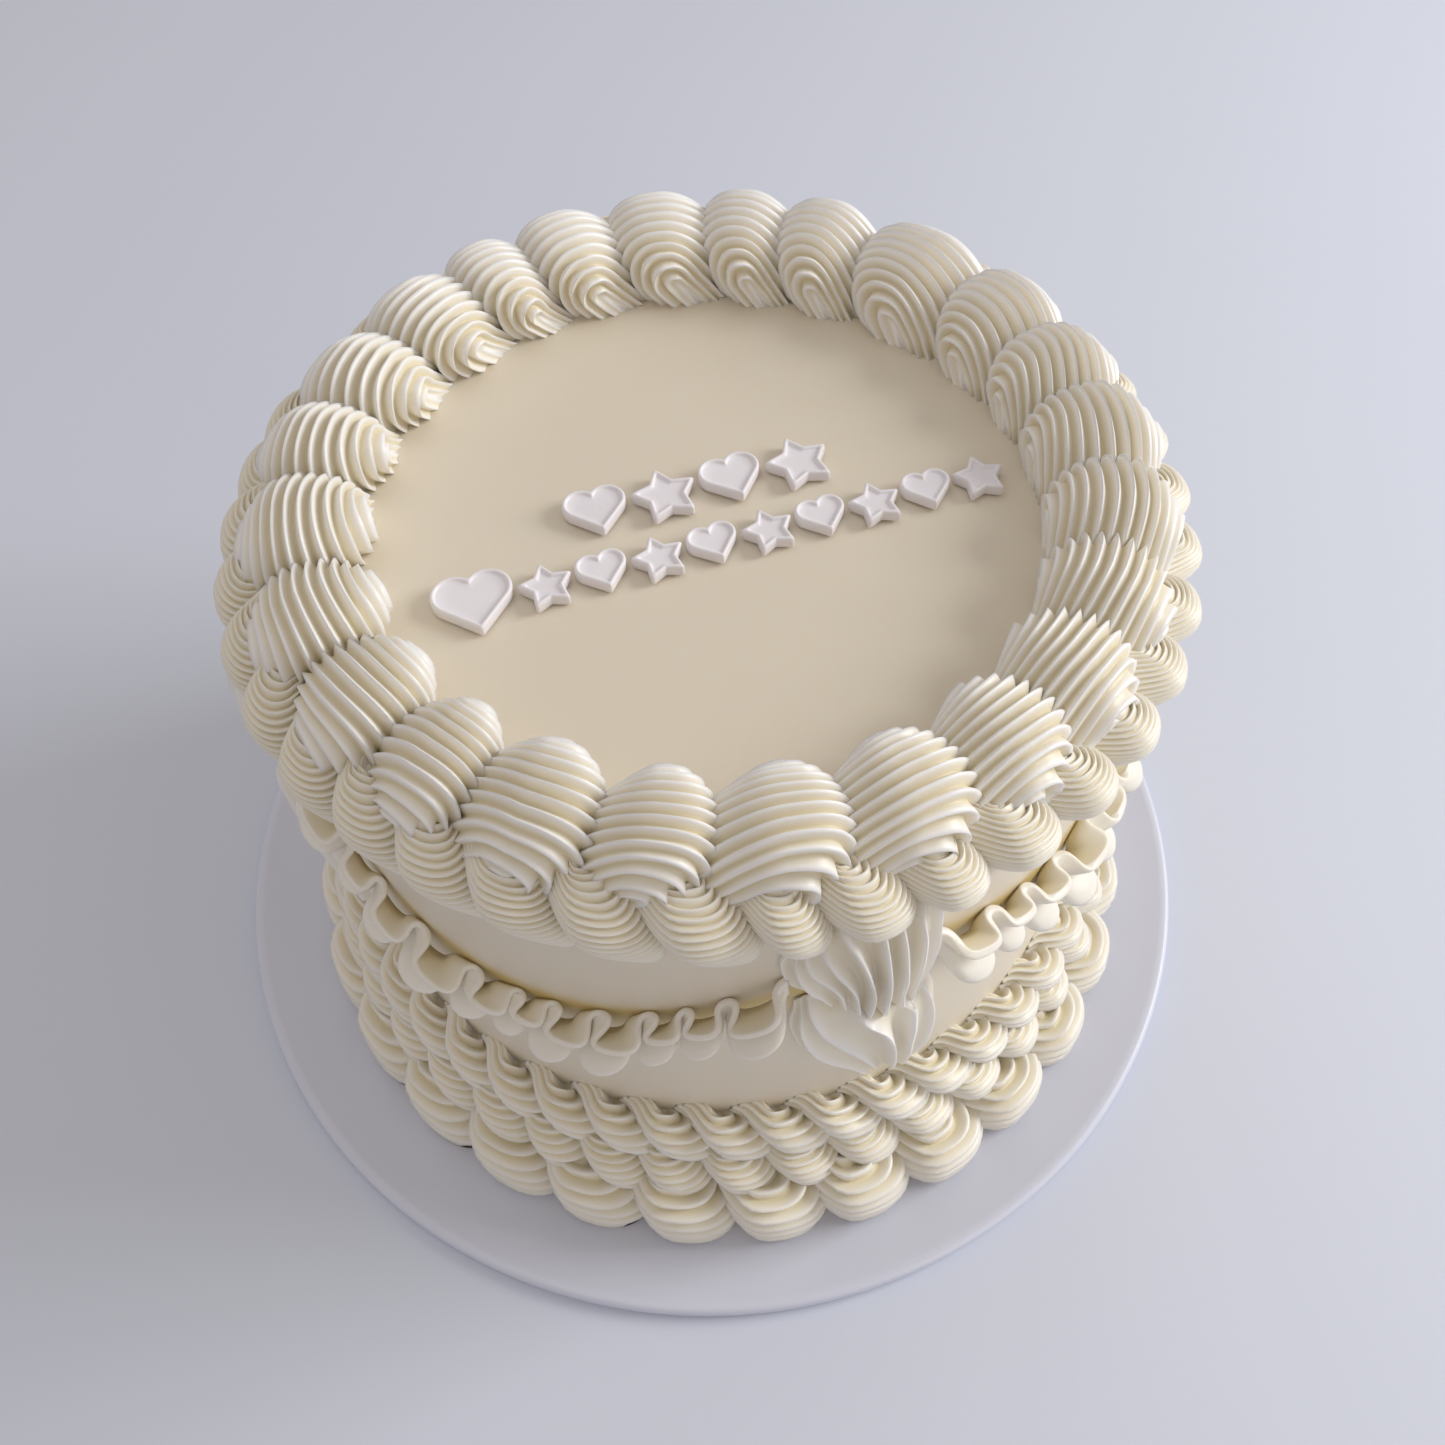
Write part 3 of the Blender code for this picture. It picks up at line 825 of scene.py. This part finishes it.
def thick_sheet(sheet, half_thick):
    """A closed skin round a sheet of points (row, column, 3): the outer side,
    then the inner side backwards, each half_thick off along the normal and
    rounded off towards the two edges by the root of 1 - across^12."""
    normal = unit_normal(np.gradient(sheet, axis=0), np.gradient(sheet, axis=1))
    across = -np.cos(np.pi * np.linspace(0, 1, len(sheet)))
    full = half_thick * np.sqrt(1 - across ** 12)[:, None, None]
    return np.concatenate([sheet + normal * full, (sheet - normal * full)[-2:0:-1]])


def capped(skin):
    """Points and faces of a tube: its rings are the columns of the skin, and
    either end is closed on the mean of its ring."""
    ends = np.stack([skin[:, 0].mean(axis=0), skin[:, -1].mean(axis=0)])
    return (np.concatenate([skin.reshape(-1, 3), ends]),
            *skin_faces(skin.shape[:2], crosswise=True))


for index, (sag, tall, crease, half_thick) in enumerate(RIBBONS):
    sheet, cup = ribbon_sheet(sag, tall, crease, 1.0 + index,
                              DROP_DIRECTIONS[index] - QUARTER + RIBBON_CLEARANCE,
                              QUARTER - 2 * RIBBON_CLEARANCE)
    groove = RIBBON_PAINTED_SHADE + CUP_PAINTED_SHADE * np.concatenate([FRONT_SHARE * cup, cup[-2:0:-1]])
    make_piece(f"ribbon_{index + 1}", *capped(thick_sheet(sheet, half_thick)), piped_icing,
               "piped_icing", [f"ruffle_{index + 1}"], np.pad(groove.ravel(), (0, 2)))
    lip = np.linalg.norm(np.diff(sheet[0], axis=0), axis=1).sum()
    wide = np.linalg.norm(np.diff(sheet, axis=0), axis=2).sum(axis=0).mean()
    print(f"ribbon {index + 1}: a flat strip {lip:.0f} mm long and {wide:.0f} mm wide")

# %% [markdown]
# Between the ribbon and the wall little light gets in, and what does has gone
# through icing several times. That shade is painted into the coat's colour as
# a deep warm ochre, which fades out a few millimetres above the ribbon. The
# coat's points get their share of the painted shade here, because only now is
# the ribbon's line known.

# %% the warm shade behind the ribbon
SHADE_ABOVE = 3.2
SHADE_BELOW = 9.0
SHADE_STRENGTH = 0.8
coat_x, coat_y, coat_height = coat_surface[0].T
direction = np.arctan2(coat_y - axis_y, coat_x - axis_x)
quarters_on = (direction - DROP_DIRECTIONS[0]) % (2 * np.pi) / QUARTER
# Quarters are counted anticlockwise from the first drop, and swags clockwise.
sag = np.array(RIBBONS)[(-1 - quarters_on.astype(int)) % 4, 0]
hang = sag * (1 - (2 * (quarters_on % 1.0) - 1) ** 2)
above = coat_height - board_top - (RIBBON_TOP_ENDS - hang)
shade = np.exp(-(above / np.where(above > 0, SHADE_ABOVE, SHADE_BELOW)) ** 2)
paint_shade_share(coat.data, SHADE_STRENGTH * shade)
print(f"warm shade on {np.mean(shade > 0.1):.0%} of the coat's points")

# %% [markdown]
# Where two swags meet hangs a drop. It is piped downwards with an open star
# nozzle, whose thin teeth leave tall blades with wide smooth troughs between
# them. The hand turns as it pulls, so the blades swirl and gather at a waist,
# and a second pull below it gathers them again in the tip. Each blade is
# written down as six places that its edge goes through.

# %% the blades of a drop
# Each place of a blade, from the top down: degrees from the drop's middle,
# height above the board, and distance out from the wall.
UPPER_BLADES = (
    ((-10, 140, 1), (-10.6, 137, 1), (-10.3, 131, 1),
     (-9.2, 125, 1), (-7.4, 121, 1), (-5.8, 118, 1)),
    ((-8.9, 141, 3), (-9, 138, 4), (-8.5, 133, 5),
     (-7.4, 129, 6), (-6, 125, 6), (-4.7, 121, 6)),
    ((-8.2, 144, 4), (-7.8, 140, 6), (-6.7, 137, 7),
     (-5.3, 134, 8), (-4, 128, 8), (-3.2, 119, 7)),
    ((-7.1, 151, 4), (-6.5, 149, 8), (-5.5, 145, 10),
     (-4.2, 140, 11), (-2.7, 130, 10), (-1.6, 116, 8)),
    ((-4.9, 157, 5), (-4.4, 155, 8), (-3.3, 151, 11),
     (-2.4, 145, 13), (-1.2, 132, 12), (-0.6, 113, 8)),
    ((-0.7, 158, 5), (-0.7, 156, 9), (-0.6, 151, 12),
     (-0.2, 141, 13.5), (0.4, 128, 12), (1.5, 111, 8)),
    ((1.8, 158, 5), (1.3, 156, 9), (1.4, 151, 11.5),
     (1.7, 140, 13), (2.4, 127, 11), (3.5, 112, 8)),
    ((4.4, 158, 5), (3.6, 156, 9), (3.7, 151, 11),
     (3.8, 141, 11.5), (4.7, 126, 9), (5.5, 109, 6)),
    ((7.2, 152, 5), (7.4, 144, 6), (7.6, 135, 6.5),
     (7.5, 125, 6), (6.9, 116, 5.5), (7, 106, 4)),
    ((8.6, 150, 1), (9.2, 144, 1), (9.4, 135, 1),
     (9, 124, 1), (8.2, 114, 1), (7.8, 104, 1)),
)
LOWER_BLADES = (
    ((-8.6, 112, 1), (-9, 103, 1), (-7.6, 90, 1),
     (-5, 80, 1), (-1.6, 70, 1), (1.6, 60, 1)),
    ((-7.8, 113, 3), (-7.8, 103, 4.5), (-6.2, 91, 5),
     (-3.9, 81.5, 4.5), (-0.8, 72.5, 4), (1.9, 62, 3)),
    ((-6.8, 114, 5), (-5.5, 107, 7), (-3.5, 100, 8),
     (-1.1, 91, 8), (1.1, 80, 7), (3.3, 66, 4)),
    ((-1.1, 114, 8), (-0.5, 112, 10), (1, 110, 12),
     (2.3, 102, 12), (3.7, 87, 10), (5.1, 68, 6)),
    ((5.5, 109, 7), (5.6, 108.5, 9), (5.5, 102, 10.5),
     (5.7, 92, 10), (6.6, 78, 8), (7.1, 64, 5)),
    ((7.4, 112, 4), (9, 103, 5.5), (10, 92, 6),
     (10.5, 80, 5.5), (10.4, 69, 4.5), (8.5, 61, 3)),
    ((8.4, 112, 1), (10.4, 103, 1), (11.4, 92, 1),
     (11.8, 80, 1), (11.4, 68, 1), (8.8, 59.5, 1)),
)
print(len(UPPER_BLADES), "blades above the waist and", len(LOWER_BLADES), "below it")

# %% [markdown]
# A smooth curve goes through the places of each blade, and through one more
# above and below, where the icing runs out on the wall. The surface is a loft:
# it is stretched from blade to blade and sags between them, in proportion to
# how far the blades stand out.

# %% a loft over the blades
BLADE_STEPS = 9
TROUGH_STEPS = 14
TROUGH_SHARE = 0.36
EDGE_SHARE = 0.06
ROOT_ABOVE, TIP_BELOW, ENDS_OUT = 3.5, 3.0, 0.6
BACK_OUT = -1.0
LOBE_SPREAD, PLACE_SPREAD = 0.05, 0.35


def smooth_through(places, steps):
    """A curve through rows of places: each stretch is a cubic whose slope at a
    place is half the step between its neighbours."""
    before, after = 2 * places[:1] - places[1:2], 2 * places[-1:] - places[-2:-1]
    extended = np.concatenate([before, places, after])
    slope = (extended[2:] - extended[:-2]) / 2
    t = np.linspace(0, 1, steps, endpoint=False)[None, :, None, None]
    start, end = places[:-1, None], places[1:, None]
    curve = (start * (1 + 2 * t) * (1 - t) ** 2 + end * t * t * (3 - 2 * t)
             + slope[:-1, None] * t * (1 - t) ** 2 - slope[1:, None] * t * t * (1 - t))
    return np.concatenate([curve.reshape(-1, *places.shape[1:]), places[-1:]])


def bladed_loft(blades, direction, salt):
    """The skin (around, row, 3) of a lobe, and how deep in a trough each point
    lies. It has blades from left to right, a trough between each pair, and the
    last blade is joined to the first behind the surface. A trough's share of
    the blades' reach is cut away, as 1 - |1 - 2v|^2.4 for the way v from one
    blade's edge to the next."""
    places = np.array(blades, dtype=float).transpose(1, 0, 2)
    order = np.arange(places.shape[1])
    places[:, :, 0] *= 1 + LOBE_SPREAD * uneven(1, salt)
    places[:, :, 0] += PLACE_SPREAD * uneven(order, salt)[None]
    root, tip = places[:1] + (0, ROOT_ABOVE, 0), places[-1:] - (0, TIP_BELOW, 0)
    root[..., 2] = tip[..., 2] = ENDS_OUT
    rows = smooth_through(np.concatenate([root, places, tip]), BLADE_STEPS)
    way = 0.5 - 0.5 * np.cos(np.pi * np.arange(TROUGH_STEPS) / TROUGH_STEPS)
    left, right = rows[:, :-1, None], rows[:, 1:, None]
    lofted = left * (1 - way[:, None]) + right * way[:, None]
    between = np.clip((way - EDGE_SHARE) / (1 - 2 * EDGE_SHARE), 0, 1)
    sag = 1 - np.abs(1 - 2 * between) ** 2.4
    lofted[..., 2] *= 1 - TROUGH_SHARE * sag
    deep = np.pad(np.tile(sag, places.shape[1] - 1), (0, 3))[:, None] * np.ones(len(rows))
    lofted = np.concatenate([lofted.reshape(len(rows), -1, 3), rows[:, -1:]], axis=1)
    behind = lofted[:, [-1, 0]].copy()
    behind[..., 2] = BACK_OUT
    across, height, out = np.moveaxis(np.concatenate([lofted, behind], axis=1), -1, 0)
    points = round_the_cake(wall_radius + np.maximum(out, BACK_OUT),
                            direction + np.radians(across), board_top + height)
    return points.transpose(1, 0, 2), deep


print("a curve through three places:", smooth_through(
    np.array([0.0, 2.0, 1.0])[:, None, None], 2).ravel())

# %% [markdown]
# Each drop is two such lobes in one piece. A hand never makes two alike, so
# each lobe gets its own salt.

# %% the fluted drops
# The deep colour on a drop is painted shade: a little everywhere, and more in the troughs
# between the blades.
DROP_PAINTED_SHADE, TROUGH_PAINTED_SHADE = 0.15, 0.4
for index, drop_direction in enumerate(DROP_DIRECTIONS):
    lobes = []
    lobe_start = 0
    for blades, salt in ((UPPER_BLADES, 1.0 + index), (LOWER_BLADES, 5.0 + index)):
        skin, deep = bladed_loft(blades, drop_direction, salt)
        points, quads, fans = capped(skin)
        groove = np.pad(DROP_PAINTED_SHADE + TROUGH_PAINTED_SHADE * deep.ravel(), (0, 2))
        lobes.append((points, quads + lobe_start, fans + lobe_start, groove))
        lobe_start += len(points)
    points, quads, fans, groove = (np.concatenate(pair) for pair in zip(*lobes))
    make_piece(f"fluted_drop_{index + 1}", points, quads, fans, piped_icing, "piped_icing",
               [f"drop_{index + 1}"], groove)

# %% [markdown]
# The white pieces on top are sugar paste pressed in a mould and turned out, so
# they are flat-backed, with rounded edges, a raised rim and a sunken face. Both
# outlines are a radius for each direction. Moving every edge of an outline
# inwards then gives the inner side of the rim.

# %% the outlines of a heart and a star
STAR_TIP = 0.54
STAR_INNER = 0.56
HEART_WIDTH = 2.42


def softened(radius):
    """Round the corners of an outline: each radius becomes the average of
    itself and its two neighbours."""
    return np.mean([np.roll(radius, shift) for shift in (-1, 0, 1)], axis=0)


def star_radius(direction, size, inset):
    """A five-pointed star: the distance to the straight edge that faces each
    direction, with every edge moved in by inset."""
    tip = STAR_TIP * size
    corner = STAR_INNER * tip
    edge_x, edge_y = corner * math.cos(math.pi / 5) - tip, corner * math.sin(math.pi / 5)
    edge_away = tip * edge_y / math.hypot(edge_x, edge_y)
    edge_direction = math.atan2(-edge_x, edge_y)
    sector = 2 * math.pi / 5
    folded = np.abs((direction - math.pi / 2 + sector / 2) % sector - sector / 2)
    return softened((edge_away - inset) / np.cos(folded - edge_direction))


def heart_radius(direction, size, inset):
    """A heart: the farthest of a square on its corner and two discs on its
    upper sides, with the square's sides and the discs moved in by inset."""
    corner = size / HEART_WIDTH
    x, y = np.cos(direction), np.sin(direction)
    square = (corner - inset * math.sqrt(2)) / (np.abs(x) + np.abs(y))
    centre, disc = corner / 2, corner / math.sqrt(2) - inset

    def far_side(middle_x):
        nearest = middle_x * x + centre * y
        inside = disc ** 2 - (2 * centre ** 2 - nearest ** 2)
        return np.where(inside > 0, nearest + np.sqrt(np.maximum(inside, 0)), 0)

    return softened(np.maximum(square, np.maximum(far_side(centre), far_side(-centre))))


print(f"a star's inner corners lie {STAR_INNER:.0%} of the way out to its tips")

# %% [markdown]
# Each piece is a stack of rings: the outline at every step of a profile, which
# is pairs of how far in and how high, then smaller rings across the sunken
# face. The pieces stand in two slanted lines, and each is turned a little.

# %% the hearts and stars of sugar paste
OUTLINE_POINTS = 144
PASTE_PROFILE = ((0.45, 0.0), (0.12, 0.12), (0.0, 0.45), (0.0, 2.35), (0.08, 2.75),
                 (0.28, 3.0), (0.55, 3.1), (0.82, 3.0), (1.02, 2.75), (1.12, 2.5),
                 (1.3, 2.4))
PASTE_TALL = 3.2
FACE_RINGS = (0.66, 0.33)
TRIAL_SIZE = 10.0
LINE_TILT = math.radians(16.6)
PIECE_TILT = math.radians(6.0)


def paste_piece(name, node, outline, order):
    """A closed piece over rings of an outline. It has the middle and the width
    of its solid, found from a trial outline, and the profile's heights are
    scaled from PASTE_TALL to the solid's."""
    low, high = box_mm(node)
    direction = np.linspace(0, 2 * np.pi, OUTLINE_POINTS, endpoint=False)
    turn = LINE_TILT + PIECE_TILT * uneven(order, 9)

    def ring(size, inset):
        radius = outline(direction, size, inset)
        return np.stack([radius * np.cos(direction + turn),
                         radius * np.sin(direction + turn)], axis=-1)

    size = TRIAL_SIZE * (high[0] - low[0]) / np.ptp(ring(TRIAL_SIZE, 0.0)[:, 0])
    outer = ring(size, 0.0)
    middle = (low[:2] + high[:2]) / 2 - (outer.min(axis=0) + outer.max(axis=0)) / 2
    scale = (high[2] - low[2]) / PASTE_TALL
    rings = [np.column_stack([ring(size, inset), np.full(OUTLINE_POINTS, rise * scale)])
             for inset, rise in PASTE_PROFILE]
    face = rings[-1]
    rings += [face * (share, share, 1.0) for share in FACE_RINGS]
    points = np.concatenate(rings + [[(0, 0, 0)], [(0, 0, face[0, 2])]])
    points += (middle[0], middle[1], low[2])
    make_piece(name, points, *skin_faces((len(rings), OUTLINE_POINTS)), fondant, "fondant",
               [node])


for line, count in (("upper", 4), ("lower", 10)):
    for order in range(count):
        kind, outline = (("heart", heart_radius), ("star", star_radius))[order % 2]
        paste_piece(f"paste_{line}_{order + 1}", f"{line}_{order + 1}_{kind}", outline, order)

# %% the finish
print(sum(triangles_made.values()), "triangles in all")
